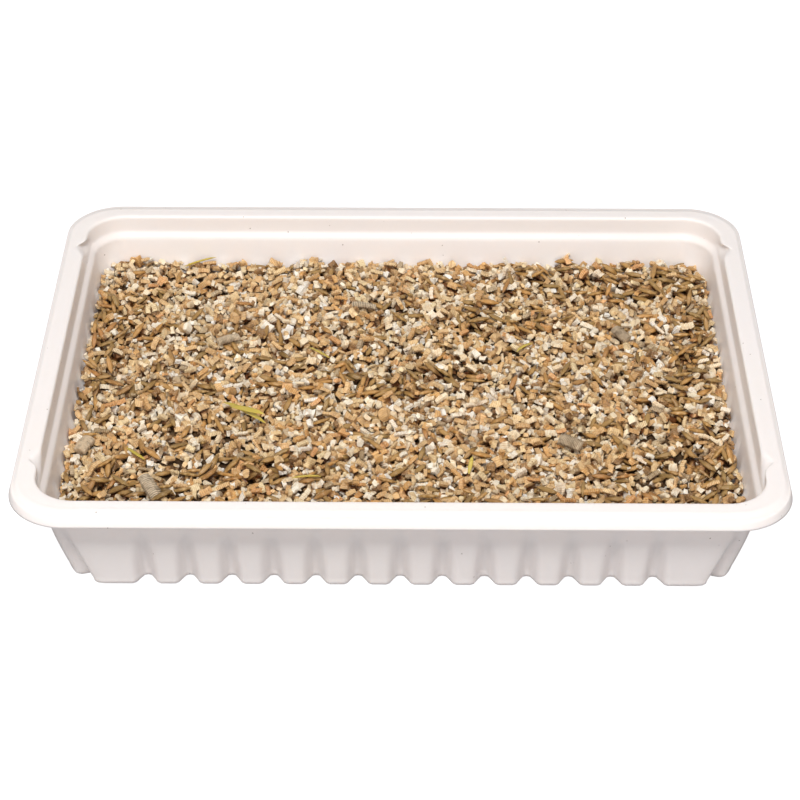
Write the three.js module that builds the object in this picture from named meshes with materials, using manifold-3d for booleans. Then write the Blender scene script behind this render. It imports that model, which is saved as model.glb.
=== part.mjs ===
// A wheatgrass growing tray, as sold ready to water: a thin white moulded tray with fluted
// walls, filled with vermiculite granules and with whole grass seed stirred into the top.
// Millimetres, +Z up. The origin is the middle of the tray's footprint, on the surface that
// it stands on. X runs along the long side and Y from the front wall to the back wall.
import * as THREE from "three";
import { mergeVertices } from "three/addons/utils/BufferGeometryUtils.js";
import Module from "manifold-3d";

const wasm = await Module();
wasm.setup();

// Driving dimensions of the tray.
const RIM_LENGTH = 282;
const RIM_WIDTH = 218;
const RIM_CORNER = 22;
const SKIN = 0.9;
const CREST_Z = 45.7;
const FOLD_Z = 45;
const LIP_DROP = 3.7;
const LIP_FLARE = 1.1;
const LEDGE_TOP_Z = 39.5;
const LEDGE_FOOT_Z = 37.4;
const FLUTE_TOP_Z = 33;
const FLUTE_FULL_Z = 27.5;
const FOOT_ROUND_Z = 2.2;
const FOOT_ROUND_IN = 1.8;
const PANEL_RAISE = 0.8;
const PANEL_MARGIN = 13;

// How far the inside of the wall stands in from the rim's outer edge at each level. The first
// number is for the two short sides, and the second for the two long ones.
const INSET = {
  crest: [9, 11.1],
  underCrest: [9.8, 11.9],
  ledgeTop: [10.5, 12.5],
  ledgeFoot: [12.8, 14.6],
  fluteTop: [13.2, 15],
  base: [18.6, 18.5],
};
const INNER_CORNER = 13;
const FOOT_CORNER = 15.5;

// Grooves pressed into the walls between the ribs: 13 along each long wall, 10 along each short one.
const LONG_GROOVES = 13;
const LONG_PITCH = 15.55;
const SHORT_GROOVES = 10;
const SHORT_PITCH = 15;
const GROOVE_AT_TOP = 2.4;
const GROOVE_AT_FOOT = 5.4;
// One groove's outline along the wall: how far from its middle, and what share of its depth.
const GROOVE_SHAPE = [
  [-5.1, 0],
  [-2.8, 0.62],
  [0, 1],
  [2.8, 0.62],
  [5.1, 0],
];
// The filling follows the grooves with this plainer outline, which stays clear of them.
const BED_GROOVE_SHAPE = [
  [-5.6, 0],
  [-1.6, 1.12],
  [1.6, 1.12],
  [5.6, 0],
];

// Four small stacking notches in the short walls' upper edge, where the wall steps out to the corner.
const NOTCH_Y = 73;
const NOTCH_DEPTH = 2;
const CORNER_STEP = 1.3;

// The filling: a bed of granules, with its top 18.5 mm below the rim.
const BED_GAP = 0.35;
const BED_BOTTOM_Z = 2.2;
const BED_VALLEY_Z = 24;
const GRAIN_HEIGHT = 2.6;
const GRAIN_PITCH = 10.8;

const JITTER = 0.22;

// Grass seed, a little over its true size, lies in patches as deep as one or two seeds.
const SEED_HEIGHT = 2.9;
const SEED_PITCH = [11, 4.8];
const PATCH_BOTTOM_Z = 19;

// Loose pieces start at this height, and are let down onto the bed.
const LOOSE_Z = 32;
const SETTLE_STEPS = 6;
const SETTLE_REACH = 9;

// A seeded random draw, the same at each run.
function drawer(seed) {
  let state = seed;
  return (low, high) => {
    state = (Math.imul(state, 1664525) + 1013904223) >>> 0;
    return low + ((high - low) * state) / 4294967296;
  };
}

// Solids.
function solid(geometry, matrix) {
  const bare = new THREE.BufferGeometry();
  bare.setAttribute("position", geometry.getAttribute("position").clone());
  if (geometry.index) bare.setIndex(geometry.index.clone());
  if (matrix) bare.applyMatrix4(matrix);
  const merged = mergeVertices(bare, 1e-4);
  return new wasm.Manifold(
    new wasm.Mesh({
      numProp: 3,
      vertProperties: new Float32Array(merged.getAttribute("position").array),
      triVerts: new Uint32Array(merged.index.array),
    }),
  );
}

function geometryOf(body) {
  const mesh = body.getMesh();
  const geometry = new THREE.BufferGeometry();
  geometry.setAttribute("position", new THREE.BufferAttribute(mesh.vertProperties, 3));
  geometry.setIndex(new THREE.BufferAttribute(mesh.triVerts, 1));
  geometry.computeVertexNormals();
  return geometry;
}

// The biggest of the bodies that a cut has left, so that no loose scrap stays behind.
function biggest(body) {
  return body.decompose().reduce((a, b) => (a.volume() > b.volume() ? a : b));
}

function together(bodies) {
  return bodies.reduce((a, b) => a.add(b));
}

// A closed body through outlines of equal length, each { z, points }, from the bottom up.
function loft(levels) {
  const count = levels[0].points.length;
  const positions = levels.flatMap(({ z, points }) => points.flatMap((p) => [p.x, p.y, z]));
  const index = [];
  for (let level = 0; level + 1 < levels.length; level++)
    for (let i = 0; i < count; i++) {
      const a = level * count + i;
      const b = level * count + ((i + 1) % count);
      index.push(a, b, b + count, a, b + count, a + count);
    }
  const top = (levels.length - 1) * count;
  for (const [a, b, c] of THREE.ShapeUtils.triangulateShape(levels[0].points, []))
    index.push(a, c, b);
  for (const [a, b, c] of THREE.ShapeUtils.triangulateShape(levels.at(-1).points, []))
    index.push(top + a, top + b, top + c);
  const geometry = new THREE.BufferGeometry();
  geometry.setAttribute("position", new THREE.Float32BufferAttribute(positions, 3));
  geometry.setIndex(index);
  return solid(geometry);
}

// Plan outlines, anticlockwise from the right end of the front wall.

// A rounded rectangle. sidePoints(side, half) gives the points along each side, as { along, in }.
function outline(halfX, halfY, radius, steps, sidePoints = () => []) {
  const points = [];
  const turn = new THREE.Vector2();
  for (let side = 0; side < 4; side++) {
    const long = side % 2 === 0;
    const angle = (side * Math.PI) / 2;
    const reach = long ? halfY : halfX;
    for (const { along, inward } of sidePoints(long))
      points.push(new THREE.Vector2(along, inward - reach).rotateAround(turn, angle));
    const corner = new THREE.Vector2((long ? halfX : halfY) - radius, radius - reach);
    for (let i = 0; i <= steps; i++) {
      const a = ((i / steps) * Math.PI) / 2 - Math.PI / 2;
      const p = new THREE.Vector2(corner.x + radius * Math.cos(a), corner.y + radius * Math.sin(a));
      points.push(p.rotateAround(turn, angle));
    }
  }
  return points;
}

function half(inset) {
  return [RIM_LENGTH / 2 - inset[0], RIM_WIDTH / 2 - inset[1]];
}

// The same outline moved inwards by a distance, square to each edge.
function shrunk(points, distance) {
  const count = points.length;
  return points.map((p, i) => {
    const before = p.clone().sub(points[(i + count - 1) % count]).normalize();
    const after = points[(i + 1) % count].clone().sub(p).normalize();
    const normal = new THREE.Vector2(-before.y - after.y, before.x + after.x).normalize();
    const lean = normal.dot(new THREE.Vector2(-before.y, before.x));
    return p.clone().addScaledVector(normal, distance / lean);
  });
}

function blend(low, high, share) {
  return low.map((value, i) => THREE.MathUtils.lerp(value, high[i], share));
}

// The wall's inside at one height in its fluted part, between the flutes' full depth and the base.
function flutedOutline(inset, grooveDepth, radius, shape = GROOVE_SHAPE) {
  const [halfX, halfY] = half(inset);
  return outline(halfX, halfY, radius, 5, (long) => {
    const count = long ? LONG_GROOVES : SHORT_GROOVES;
    const pitch = long ? LONG_PITCH : SHORT_PITCH;
    const start = (-pitch * (count - 1)) / 2;
    return Array.from({ length: count }, (_, k) =>
      shape.map(([offset, share]) => ({
        along: start + k * pitch + offset,
        inward: grooveDepth * share,
      })),
    ).flat();
  });
}

// The wall's own levels, as the outside of the tray shows them; the inside is a skin's width further in.
function wallLevels(shape) {
  const outer = (name) => INSET[name].map((value) => value - SKIN);
  const share = (FLUTE_TOP_Z - FLUTE_FULL_Z) / FLUTE_TOP_Z;
  const base = outer("base");
  const footIn = base.map((value) => value + FOOT_ROUND_IN);
  return [
    { z: 0, points: flutedOutline(footIn, GROOVE_AT_FOOT, FOOT_CORNER - FOOT_ROUND_IN, shape) },
    { z: FOOT_ROUND_Z, points: flutedOutline(base, GROOVE_AT_FOOT, FOOT_CORNER, shape) },
    {
      z: FLUTE_FULL_Z,
      points: flutedOutline(blend(outer("fluteTop"), base, share), GROOVE_AT_TOP, INNER_CORNER, shape),
    },
    { z: FLUTE_TOP_Z, points: flutedOutline(outer("fluteTop"), 0.05, INNER_CORNER, shape) },
  ];
}

function plain(name, grow = 0) {
  const [halfX, halfY] = half(INSET[name]);
  return outline(halfX + grow, halfY + grow, INNER_CORNER + grow, 8);
}

// The upper wall's inside, which steps out to the corners through a notch on each short side.
function notched(name, grow = 0) {
  const [halfX, halfY] = half(INSET[name]);
  const notch = [
    { along: -NOTCH_Y - 2.4, inward: -grow },
    { along: -NOTCH_Y - 0.6, inward: -NOTCH_DEPTH - grow },
    { along: -NOTCH_Y + 1.2, inward: CORNER_STEP - grow },
  ];
  const mirrored = notch.map((p) => ({ along: -p.along, inward: p.inward })).reverse();
  return outline(halfX + grow, halfY + grow, INNER_CORNER + 2 + grow, 8, (long) =>
    long ? [] : [...notch, ...mirrored].map((p) => ({ ...p, inward: p.inward + grow })),
  );
}

function tray() {
  const rim = (inset, z, radius = RIM_CORNER - inset) => ({
    z,
    points: outline(RIM_LENGTH / 2 - inset, RIM_WIDTH / 2 - inset, radius, 8),
  });
  const lipFoot = FOLD_Z - LIP_DROP;
  const [crestSide] = INSET.crest;
  const flange = loft([
    rim(0, lipFoot),
    rim(LIP_FLARE * 0.75, FOLD_Z - 0.8),
    rim(LIP_FLARE + 0.6, FOLD_Z),
    rim(crestSide, CREST_Z),
  ]).subtract(
    loft([
      rim(SKIN - 0.2, lipFoot - 1),
      rim(SKIN, lipFoot),
      rim(LIP_FLARE + SKIN, FOLD_Z - SKIN - 0.2),
      rim(crestSide, CREST_Z - SKIN - 0.2),
    ]),
  );
  const levels = wallLevels();
  const fluted = loft([...levels, { z: LEDGE_FOOT_Z, points: levels.at(-1).points }]);
  const upper = loft([
    { z: FLUTE_TOP_Z, points: plain("fluteTop", SKIN) },
    { z: LEDGE_FOOT_Z - SKIN, points: plain("ledgeFoot", SKIN) },
    { z: LEDGE_TOP_Z - SKIN, points: plain("ledgeTop", SKIN + NOTCH_DEPTH) },
    { z: CREST_Z - SKIN, points: plain("underCrest", SKIN + NOTCH_DEPTH) },
  ]);
  const flutedInside = levels.map(({ z, points }) => ({
    z: z === 0 ? SKIN : z + (z === FOOT_ROUND_Z ? SKIN : 0),
    points: shrunk(points, SKIN),
  }));
  const inside = loft([
    ...flutedInside,
    { z: LEDGE_FOOT_Z - 1, points: flutedInside.at(-1).points },
  ]).add(
    loft([
      { z: FLUTE_TOP_Z - 0.01, points: plain("fluteTop") },
      { z: LEDGE_FOOT_Z, points: plain("ledgeFoot") },
      { z: LEDGE_TOP_Z, points: plain("ledgeTop") },
      { z: LEDGE_TOP_Z + 1, points: plain("ledgeTop") },
    ]),
  ).add(
    loft([
      { z: LEDGE_TOP_Z, points: notched("ledgeTop") },
      { z: CREST_Z - 0.9, points: notched("underCrest") },
      { z: CREST_Z, points: notched("crest") },
      { z: CREST_Z + 1, points: notched("crest", 0.5) },
    ]),
  );
  return flange.add(fluted).add(upper).subtract(inside).subtract(panel(-1, PANEL_RAISE)).add(
    panel(PANEL_RAISE, PANEL_RAISE + SKIN),
  );
}

// The raised middle of the base, so that the tray stands on a band round its edge.
function panel(low, high) {
  const [halfX, halfY] = half(INSET.base);
  const points = (z) =>
    outline(halfX - PANEL_MARGIN - z, halfY - PANEL_MARGIN - z, INNER_CORNER - 3, 4);
  return loft([
    { z: low, points: points(low) },
    { z: high, points: points(high) },
  ]);
}

// A field of tilted blocks, each raised from its own cell of a jittered grid: granules, or seeds
// where the cells are long and their tops narrow. One block in every few is a lone seed.
function blockField({ length, width, pitch, turn, lift, loneSeeds, topSize, seedNumber }) {
  const draw = drawer(seedNumber);
  const across = Math.ceil(length / pitch[0]);
  const deep = Math.ceil(width / pitch[1]);
  const positions = [];
  const index = [];
  const put = (x, y, z) => positions.push(x, y, z) / 3 - 1;
  const edge = (i, n) => i === 0 || i === n;
  const valley = [];
  for (let j = 0; j <= deep; j++)
    for (let i = 0; i <= across; i++) {
      const loose = edge(i, across) || edge(j, deep) ? 0 : 1;
      const brick = (j % 2) * 0.35;
      const x = i - across / 2 + loose * (brick + draw(-JITTER, JITTER));
      const y = j - deep / 2 + loose * draw(-JITTER, JITTER);
      valley.push(put(x * pitch[0], y * pitch[1], BED_VALLEY_Z + draw(-0.5, 0.5)));
    }
  const at = (v) => new THREE.Vector3().fromArray(positions, 3 * v);
  for (let j = 0; j < deep; j++)
    for (let i = 0; i < across; i++) {
      const a = j * (across + 1) + i;
      const ring = [a, a + 1, a + across + 2, a + across + 1].map((k) => valley[k]);
      const middle = ring.map(at).reduce((sum, p) => sum.add(p), new THREE.Vector3()).divideScalar(4);
      const height = lift + draw(-0.7, 0.7);
      const [leanX, leanY] = [draw(-0.28, 0.28), draw(-0.28, 0.28)];
      const slim = draw(0, 1) < loneSeeds ? 0.35 : 1;
      const [sizeX, sizeY] = [topSize[0] * draw(0.8, 1.1), topSize[1] * slim * draw(0.8, 1.1)];
      const top = ring.map(at).map((p) => {
        const dx = (p.x - middle.x) * sizeX;
        const dy = (p.y - middle.y) * sizeY;
        return put(middle.x + dx, middle.y + dy, middle.z + height + dx * leanX + dy * leanY);
      });
      for (let k = 0; k < 4; k++) {
        const next = (k + 1) % 4;
        index.push(ring[k], ring[next], top[next], ring[k], top[next], top[k]);
      }
      index.push(top[0], top[1], top[2], top[0], top[2], top[3]);
    }
  closeBelow(positions, index, valley, across, deep);
  const geometry = new THREE.BufferGeometry();
  geometry.setAttribute("position", new THREE.Float32BufferAttribute(positions, 3));
  geometry.setIndex(index);
  return solid(geometry, new THREE.Matrix4().makeRotationZ(turn));
}

// Closes a field with straight sides and a flat underside.
function closeBelow(positions, index, valley, across, deep) {
  const border = [];
  for (let i = 0; i < across; i++) border.push(valley[i]);
  for (let j = 0; j < deep; j++) border.push(valley[j * (across + 1) + across]);
  for (let i = across; i > 0; i--) border.push(valley[deep * (across + 1) + i]);
  for (let j = deep; j > 0; j--) border.push(valley[j * (across + 1)]);
  const first = positions.length / 3;
  for (const v of border) positions.push(positions[3 * v], positions[3 * v + 1], 0);
  const below = positions.push(0, 0, 0) / 3 - 1;
  for (let k = 0; k < border.length; k++) {
    const next = (k + 1) % border.length;
    index.push(border[k], first + k, first + next, border[k], first + next, border[next]);
    index.push(below, first + next, first + k);
  }
}

// The space inside the tray's walls that the granules fill, a small gap clear of the skin.
function fillSpace() {
  const levels = wallLevels(BED_GROOVE_SHAPE);
  const [base, , top] = levels.map(({ points }) => shrunk(points, SKIN + BED_GAP));
  return loft([
    { z: BED_BOTTOM_Z, points: base },
    { z: FLUTE_FULL_Z, points: top },
    { z: FLUTE_TOP_Z, points: top },
  ]);
}

// Patches where seed covers the granules: each an oval round [x, y], and the way that the seed lies.
const SEED_PATCHES = [
  { name: "right_wall", at: [119, -12], size: [24, 138], turn: 1.42 },
  { name: "back_right_corner", at: [96, 82], size: [74, 32], turn: -0.5 },
  { name: "front_left_corner", at: [-108, -82], size: [50, 36], turn: 0.55 },
  { name: "front_wall", at: [32, -88], size: [140, 26], turn: -0.2 },
  { name: "left_wall", at: [-124, 24], size: [20, 84], turn: 1.75 },
  { name: "middle", at: [-6, 4], size: [46, 21], turn: 0.35 },
  { name: "back_middle", at: [40, 50], size: [34, 22], turn: -0.65 },
  { name: "front_left", at: [-54, -54], size: [48, 19], turn: 0.2 },
];
const OVAL_SIDES = 14;

function patchBlock({ at, size, turn }, grow) {
  const oval = Array.from({ length: OVAL_SIDES }, (_, k) => {
    const angle = (2 * Math.PI * k) / OVAL_SIDES;
    const wave = 1 + 0.08 * Math.sin(3 * angle + 9 * turn);
    const x = at[0] + (size[0] / 2) * wave * Math.cos(angle);
    return new THREE.Vector2(x, at[1] + (size[1] / 2) * wave * Math.sin(angle));
  });
  const points = shrunk(oval, -grow);
  return loft([
    { z: PATCH_BOTTOM_Z - grow, points },
    { z: FLUTE_TOP_Z + 1, points },
  ]);
}

function seedPatch(patch, k) {
  const reach = Math.hypot(...patch.size);
  const field = blockField({
    length: reach + SEED_PITCH[0],
    width: reach + SEED_PITCH[1],
    pitch: SEED_PITCH,
    turn: patch.turn,
    lift: SEED_HEIGHT,
    loneSeeds: 0,
    topSize: [0.62, 0.3],
    seedNumber: 31 + k,
  });
  return field.translate([...patch.at, 0]).intersect(patchBlock(patch, 0));
}

// Dry straw: short folded blades, each at [x, y], with its length and the way that it points.
const STRAWS = [
  { at: [-61, -20], length: 17, heading: -0.55 },
  { at: [-33, 22], length: 12, heading: -0.75 },
  { at: [-80, 86], length: 13, heading: 0.15 },
  { at: [-100, -46], length: 9, heading: -0.6 },
  { at: [-35, -62], length: 11, heading: 0.1 },
  { at: [26, -54], length: 8, heading: 1.4 },
  { at: [49, 27], length: 9, heading: 0.7 },
];

function straw({ at, length, heading }) {
  const [width, thick, fold] = [1.9, 0.7, 0.5];
  const section = new THREE.Shape([
    new THREE.Vector2(-width / 2, fold),
    new THREE.Vector2(0, 0),
    new THREE.Vector2(width / 2, fold),
    new THREE.Vector2(width / 2, fold + thick),
    new THREE.Vector2(0, thick),
    new THREE.Vector2(-width / 2, fold + thick),
  ]);
  const blade = new THREE.ExtrudeGeometry(section, { depth: length, bevelEnabled: false });
  blade.translate(0, -thick / 2, -length / 2);
  blade.rotateX(Math.PI / 2);
  blade.rotateZ(heading + Math.PI / 2);
  blade.translate(at[0], at[1], LOOSE_Z);
  return solid(blade);
}

// Big flakes of vermiculite: stacks of thin leaves, drawn as blocks with a toothed outline.
const FLAKE_THICKNESS = 2.8;
const FLAKES = [
  { at: [-90, -64], length: 11, width: 5.4, heading: -0.75 },
  { at: [-116, -40], length: 7, width: 6, heading: 1.2 },
  { at: [-16, 55], length: 10, width: 4.6, heading: -0.15 },
  { at: [64, -40], length: 9, width: 6, heading: -0.4 },
  { at: [88, 34], length: 8, width: 5, heading: -0.9 },
  { at: [-70, 30], length: 9, width: 5.2, heading: 0.4 },
];

function flake({ at, length, width, heading }) {
  const leaves = Math.round(length / 1.6);
  const rim = (side) =>
    Array.from({ length: 2 * leaves + 1 }, (_, k) => {
      const along = (k / (2 * leaves) - 0.5) * length;
      const out = width / 2 - (k % 2 ? 0 : 0.45);
      return new THREE.Vector2(side * along, -side * out);
    });
  const block = new THREE.ExtrudeGeometry(new THREE.Shape([...rim(1), ...rim(-1)]), {
    depth: FLAKE_THICKNESS,
    bevelEnabled: false,
  });
  block.translate(0, 0, -FLAKE_THICKNESS / 2);
  block.rotateX(0.22);
  block.rotateZ(heading);
  block.translate(at[0], at[1], LOOSE_Z);
  return solid(block);
}

// The assembly.
const look = (color, roughness) => new THREE.MeshStandardMaterial({ color, roughness, metalness: 0 });
const whitePlastic = look(0xf4ece4, 0.35);
const granules = look(0xb8966c, 0.9);
const seedHusk = look(0x9a7440, 0.7);
const dryStraw = look(0xb5a342, 0.6);
const silverFlake = look(0x8d7b68, 0.6);

const object = new THREE.Group();
function add(name, body, material) {
  const mesh = new THREE.Mesh(geometryOf(body), material);
  mesh.name = name;
  object.add(mesh);
}

// Lets a loose body down until it lies a small gap clear of the granules.
function settled(body, bed) {
  let lying = body;
  for (let step = 0; step < SETTLE_STEPS; step++) {
    const clear = lying.minGap(bed, SETTLE_REACH) - BED_GAP;
    lying = lying.translate([0, 0, -clear]);
  }
  return lying;
}

const space = fillSpace();
const granuleBed = blockField({
  length: RIM_LENGTH - 20,
  width: RIM_WIDTH - 20,
  pitch: [GRAIN_PITCH, GRAIN_PITCH],
  turn: 0,
  lift: GRAIN_HEIGHT,
  loneSeeds: 0.3,
  topSize: [0.78, 0.78],
  seedNumber: 11,
}).intersect(space);
const bed = SEED_PATCHES.reduce((rest, p) => rest.subtract(patchBlock(p, BED_GAP)), granuleBed);
const patches = SEED_PATCHES.map((patch, k) => biggest(seedPatch(patch, k).intersect(space)));
const lying = together([bed, ...patches]);
add("tray", tray(), whitePlastic);
add("vermiculite_bed", biggest(bed), granules);
SEED_PATCHES.forEach(({ name }, k) => add(`seeds_${name}`, patches[k], seedHusk));
FLAKES.forEach((one, k) => add(`vermiculite_flake_${k + 1}`, settled(flake(one), lying), silverFlake));
STRAWS.forEach((one, k) => add(`straw_${k + 1}`, settled(straw(one), lying), dryStraw));

export default object;
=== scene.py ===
import math

import bmesh
import bpy
import numpy as np
from mathutils import Euler, Matrix, Vector


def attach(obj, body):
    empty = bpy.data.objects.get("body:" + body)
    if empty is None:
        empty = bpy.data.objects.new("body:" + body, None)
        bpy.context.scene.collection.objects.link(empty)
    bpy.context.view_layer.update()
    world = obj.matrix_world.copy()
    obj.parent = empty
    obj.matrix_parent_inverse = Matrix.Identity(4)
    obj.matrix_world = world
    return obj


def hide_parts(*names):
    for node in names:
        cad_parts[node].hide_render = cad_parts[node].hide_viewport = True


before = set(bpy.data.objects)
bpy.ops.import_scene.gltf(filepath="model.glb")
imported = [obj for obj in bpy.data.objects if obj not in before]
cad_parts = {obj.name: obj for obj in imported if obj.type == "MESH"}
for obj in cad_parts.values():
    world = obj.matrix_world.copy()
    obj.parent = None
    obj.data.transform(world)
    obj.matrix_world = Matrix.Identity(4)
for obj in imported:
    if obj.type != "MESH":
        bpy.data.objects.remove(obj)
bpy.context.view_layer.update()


# THE STUDIO. A plain white sweep, a key light high in front, a broader and weaker one behind the camera,
# and an even white surround, with the camera high in front of the tray. None of it is part of the object.

def srgb(red, green, blue):
    """A colour as it looks on screen, 0 to 255, turned into the linear colour that a socket takes."""
    linear = [c / 3294.6 if c <= 10.3 else ((c / 255 + 0.055) / 1.055) ** 2.4 for c in (red, green, blue)]
    return (*linear, 1.0)


def put(tree, kind, inputs=None, **settings):
    """Adds a shader node. A socket among its inputs is linked, and anything else is set."""
    node = tree.nodes.new(kind)
    for name, value in settings.items():
        setattr(node, name, value)
    for name, value in (inputs or {}).items():
        if isinstance(value, bpy.types.NodeSocket):
            tree.links.new(value, node.inputs[name])
        else:
            node.inputs[name].default_value = value
    return node


def new_finish(name):
    material = bpy.data.materials.new(name)
    material.use_nodes = True
    material.node_tree.nodes.clear()
    return material, material.node_tree


def coat_with(tree, shader):
    put(tree, "ShaderNodeOutputMaterial", {"Surface": shader.outputs[0]})


def keep(bm, name, material, smooth=True):
    """Turns a bmesh made in millimetres into a finished object in metres, at the origin."""
    bmesh.ops.scale(bm, vec=(0.001, 0.001, 0.001), verts=bm.verts)
    mesh = bpy.data.meshes.new(name)
    bm.to_mesh(mesh)
    bm.free()
    if smooth:
        mesh.shade_smooth()
    mesh.materials.append(material)
    piece = bpy.data.objects.new(name, mesh)
    bpy.context.scene.collection.objects.link(piece)
    return piece


camera_lens = bpy.data.cameras.new("camera")
camera_lens.lens = 109.62
camera_lens.clip_end = 20
camera = bpy.data.objects.new("camera", camera_lens)
camera.location = (0.00539, -0.7847, 0.5735)
camera.rotation_euler = (Vector((-0.0005, -0.0346, 0.045)) - camera.location).to_track_quat("-Z", "Y").to_euler()
bpy.context.scene.collection.objects.link(camera)
bpy.context.scene.camera = camera
bpy.context.scene.view_settings.view_transform = "Standard"

for label, place, size, power, colour in (
    ("key_light", (-0.15, -1.07, 1.57), 0.46, 25, (1.0, 0.988, 0.972)),
    ("front_light", (-0.05, -1.45, 0.5), 1.0, 4.6, (1.0, 0.988, 0.985)),
):
    lamp = bpy.data.lights.new(label, "AREA")
    lamp.shape, lamp.size = "SQUARE", size
    lamp.energy, lamp.color = power, colour
    light = bpy.data.objects.new(label, lamp)
    light.location = place
    light.rotation_euler = (-light.location).to_track_quat("-Z", "Y").to_euler()
    bpy.context.scene.collection.objects.link(light)

surround = bpy.data.worlds.new("white_surround")
surround.use_nodes = True
surround.node_tree.nodes["Background"].inputs["Color"].default_value = (1.0, 0.98, 0.985, 1)
surround.node_tree.nodes["Background"].inputs["Strength"].default_value = 0.48
bpy.context.scene.world = surround

# The sweep is lifted to white where it is looked at, and lights the tray's underside no more than paper does.
white_sweep, tree = new_finish("white_sweep")
seen = put(tree, "ShaderNodeLightPath").outputs["Is Camera Ray"]
lift = put(tree, "ShaderNodeMath", {0: seen, 1: 0.93}, operation="MULTIPLY").outputs[0]
coat_with(tree, put(tree, "ShaderNodeBsdfPrincipled", {
    "Base Color": (0.36, 0.35, 0.36, 1), "Roughness": 0.9, "Specular IOR Level": 0.1,
    "Emission Color": (1, 1, 1, 1), "Emission Strength": lift}))
bm = bmesh.new()
bmesh.ops.create_grid(bm, x_segments=4, y_segments=4, size=3000)
bmesh.ops.translate(bm, vec=(0, 0, -0.02), verts=bm.verts)
keep(bm, "floor", white_sweep)


# THE TRAY. A thin white plastic tray, vacuum formed in one piece from a sheet: fluted walls on a raised
# base, a sloping ledge above the flutes, four stacking notches, and a flat rim that is folded down.

RIM_LENGTH, RIM_WIDTH, RIM_HEIGHT, RIM_CORNER = 282, 218, 45.7, 22
SKIN = 0.9
WALL_CORNER, FOOT_CORNER, FOOT_ROUND = 13, 14.5, 3.2
# The flutes along a long and a short wall: how many, how far apart, and points in each one's outline.
FLUTES = {"long": (13, 15.55, 12), "short": (10, 15, 16)}
# Half the width of a flute at the foot and at its top, and how far round a corner the corner's flute lies.
FLUTE_HALF_WIDTH = {"inside": (5.6, 5.2), "outside": (4.9, 4.2)}
FLUTE_SPAN = (3, 30)
CORNER_FLUTE = math.radians(57)
# Up the wall: height, how far its inside stands in from the rim's edge on the short and on the long
# sides, and how deep the flutes are inside and outside. Outside they still show at the ledge.
WALL = np.array([(3.1, 18.6, 18.5, 5.3, 5.3), (8, 17.3, 17.4, 4.9, 5.0), (14, 15.8, 16.2, 3.9, 4.15),
                 (20, 14.4, 15.1, 2.4, 2.75), (24, 13.6, 14.5, 1.05, 1.45), (26, 13.25, 14.2, 0.55, 1.0),
                 (28, 12.95, 13.95, 0.2, 0.7), (30, 12.65, 13.75, 0.05, 0.58), (32, 12.4, 13.55, 0, 0.5),
                 (35, 12.1, 13.2, 0, 0.4), (36, 11.9, 13.0, 0, 0.3), (38, 10.6, 12, 0, 0)])
BASE_INSET = WALL[0, 1:3]


def valley(distance, half_width):
    """The share of a flute's depth at a distance from its middle: a soft valley between two flat ribs."""
    near = np.clip(1.15 - 1.15 * np.abs(distance) / half_width, 0, 1)
    return near * near * (3 - 2 * near)


def flute_depth(along, half_width, count, pitch):
    nearest = np.round(along / pitch - (count + 1) % 2 / 2) + (count + 1) % 2 / 2
    nearest = np.clip(nearest, -(count - 1) / 2, (count - 1) / 2)
    return valley(along - nearest * pitch, half_width)


def notch_depth(along, z):
    """A stacking notch at each end of the short sides, cut slanting down towards the corner."""
    fall = min(max((RIM_HEIGHT - z) / 6.3, 0), 1)
    tip = 73.6 + 12 * fall
    return (1 - 0.8 * fall) * np.interp(np.abs(along) - tip, [-6.7 - 4 * fall, -0.6, 0.6, 4], [0, 1, 0.9, 0])


def level(z, inset, corner, flute=0.0, notch=0.0, outside=False):
    """One level of the tray in plan, anticlockwise from the left end of the front wall."""
    half_width = np.interp(z, FLUTE_SPAN, FLUTE_HALF_WIDTH["outside" if outside else "inside"])
    points = []
    for side in range(4):
        count, pitch, per_flute = FLUTES["long" if side % 2 == 0 else "short"]
        run, reach = RIM_LENGTH / 2 - inset[0], RIM_WIDTH / 2 - inset[1]
        short_straight = reach - corner
        if side % 2:
            run, reach = reach, run
        fluted, straight = count * pitch / 2, run - corner
        along = np.linspace(-fluted, fluted, count * per_flute + 1)
        if straight < fluted + 0.5:
            along = along * (straight - 0.5) / fluted
        end = np.linspace(along[-1], straight, 7)[1:]
        along = np.concatenate([-end[::-1], along, end])
        inward = flute * flute_depth(along, half_width, count, pitch)
        if side % 2:
            inward = inward - notch * notch_depth(along, z)
        # Round the corner, where the one flute lies nearer to the long side.
        turned = np.radians(np.linspace(-90, 0, 23)[1:-1])
        from_short = turned + math.pi / 2 if side % 2 else -turned
        radius = corner - flute * valley(corner * (from_short - CORNER_FLUTE), half_width)
        radius = radius + notch * notch_depth(short_straight + corner * from_short, z)
        plan = np.concatenate([
            np.stack([along, inward - reach], 1),
            np.stack([straight + radius * np.cos(turned), corner - reach + radius * np.sin(turned)], 1)])
        a = side * math.pi / 2
        plan = plan @ np.array([[math.cos(a), math.sin(a)], [-math.sin(a), math.cos(a)]])
        points.append(plan)
    plan = np.concatenate(points)
    return np.column_stack([plan, np.full(len(plan), float(z))])


def draw_out(bm, ring, points):
    """Extrudes the open edge through a ring of vertices out to new points, and returns the new ring."""
    edges = [bm.edges.get((ring[i - 1], ring[i])) for i in range(len(ring))]
    made = {g for g in bmesh.ops.extrude_edge_only(bm, edges=edges)["geom"] if isinstance(g, bmesh.types.BMVert)}
    new_ring = [next(e.other_vert(v) for e in v.link_edges if e.other_vert(v) in made) for v in ring]
    for vert, point in zip(new_ring, points):
        vert.co = point
    return new_ring


def first_ring(bm, points):
    """Starts a shell from a closed flat face through the points."""
    ring = bmesh.ops.create_circle(bm, cap_ends=True, segments=len(points), radius=1)["verts"]
    for vert, point in zip(ring, points):
        vert.co = point
    return list(ring)


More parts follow.
